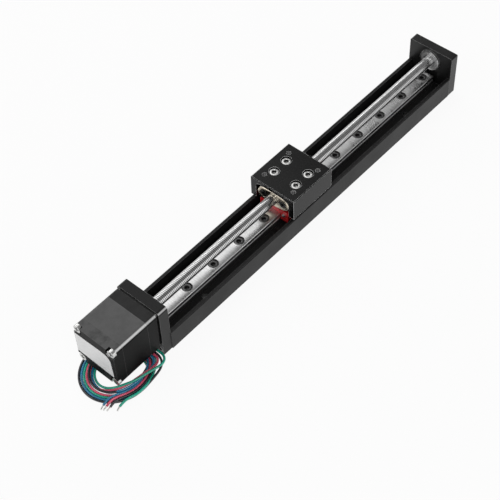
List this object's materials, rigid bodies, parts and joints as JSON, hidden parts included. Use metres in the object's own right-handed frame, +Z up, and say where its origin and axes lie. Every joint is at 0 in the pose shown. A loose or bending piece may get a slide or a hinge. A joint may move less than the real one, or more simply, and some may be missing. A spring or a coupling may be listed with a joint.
{
  "type": "motorized linear slide",
  "caption": "Compact black linear stage: a square motor turns a lead screw that drives a flat-topped carriage along a profile rail in a channel base.",
  "frame": {"origin": "middle of the base channel's underside", "axes": "+X along the slide from the motor to the free end, +Z up through the carriage's table face, +Y across"},
  "size_m": [0.289, 0.0384, 0.0338],
  "materials": {
    "black_anodised_aluminium": "satin",
    "ground_steel": "ground",
    "bearing_steel": "polished",
    "black_steel_screws": "black oxide",
    "bright_steel_screws": "bright",
    "painted_laminations": "black paint",
    "rotor_iron": "plain",
    "copper_wire": "enamelled",
    "nut_bronze": "machined",
    "red_plastic": "moulded",
    "black_rubber": "matte",
    "black_insulation": "satin",
    "green_insulation": "satin",
    "red_insulation": "satin",
    "blue_insulation": "satin",
    "mixed_insulation": "satin",
    "tinned_copper": "tinned"
  },
  "bodies": {
    "stage": {"base_channel": "black_anodised_aluminium", "guide_rail": "ground_steel", "rail_screws": "black_steel_screws", "motor_plate": "black_anodised_aluminium", "motor_plate_screws": "black_steel_screws", "end_plate": "black_anodised_aluminium", "end_plate_screws": "black_steel_screws", "end_bearing_outer_ring": "bearing_steel", "end_bearing_shields": "bearing_steel", "end_bearing_balls": "bearing_steel", "motor_front_cap": "black_anodised_aluminium", "stator_stack": "painted_laminations", "stator_windings": "copper_wire", "motor_rear_cap": "black_anodised_aluminium", "motor_screws": "bright_steel_screws", "motor_front_bearing_outer_ring": "bearing_steel", "motor_front_bearing_balls": "bearing_steel", "motor_rear_bearing_outer_ring": "bearing_steel", "motor_rear_bearing_balls": "bearing_steel", "spring_washer": "bearing_steel", "lead_grommet": "black_rubber", "lead_black": "black_insulation", "lead_green": "green_insulation", "lead_red": "red_insulation", "lead_blue": "blue_insulation", "lead_coil": "mixed_insulation", "lead_tips": "tinned_copper"},
    "screw": {"lead_screw": "ground_steel", "rotor_cores": "rotor_iron", "rotor_magnet": "rotor_iron", "end_bearing_inner_ring": "bearing_steel", "motor_front_bearing_inner_ring": "bearing_steel", "motor_rear_bearing_inner_ring": "bearing_steel"},
    "carriage": {"carriage_block": "black_anodised_aluminium", "carriage_screws": "bright_steel_screws", "flange_nut": "nut_bronze", "nut_screws": "black_steel_screws", "slider_body": "ground_steel", "slider_balls": "bearing_steel", "slider_cap_front": "red_plastic", "slider_cap_rear": "red_plastic", "seal_front": "red_plastic", "seal_rear": "red_plastic", "slider_cap_screws": "bright_steel_screws"}
  },
  "joints": [
    {"name": "screw_spin", "type": "hinge", "parent": "stage", "child": "screw", "pos_m": [0, 0, 0.02], "axis": [1, 0, 0], "range_deg": [-38490, 33520]},
    {"name": "carriage_slide", "type": "slide", "parent": "stage", "child": "carriage", "axis": [1, 0, 0], "range_m": [-0.0931, 0.1069]}
  ],
  "couplings": [
    {"joint": "screw_spin", "follows": "carriage_slide", "rad_per_m": -6283.2}
  ]
}
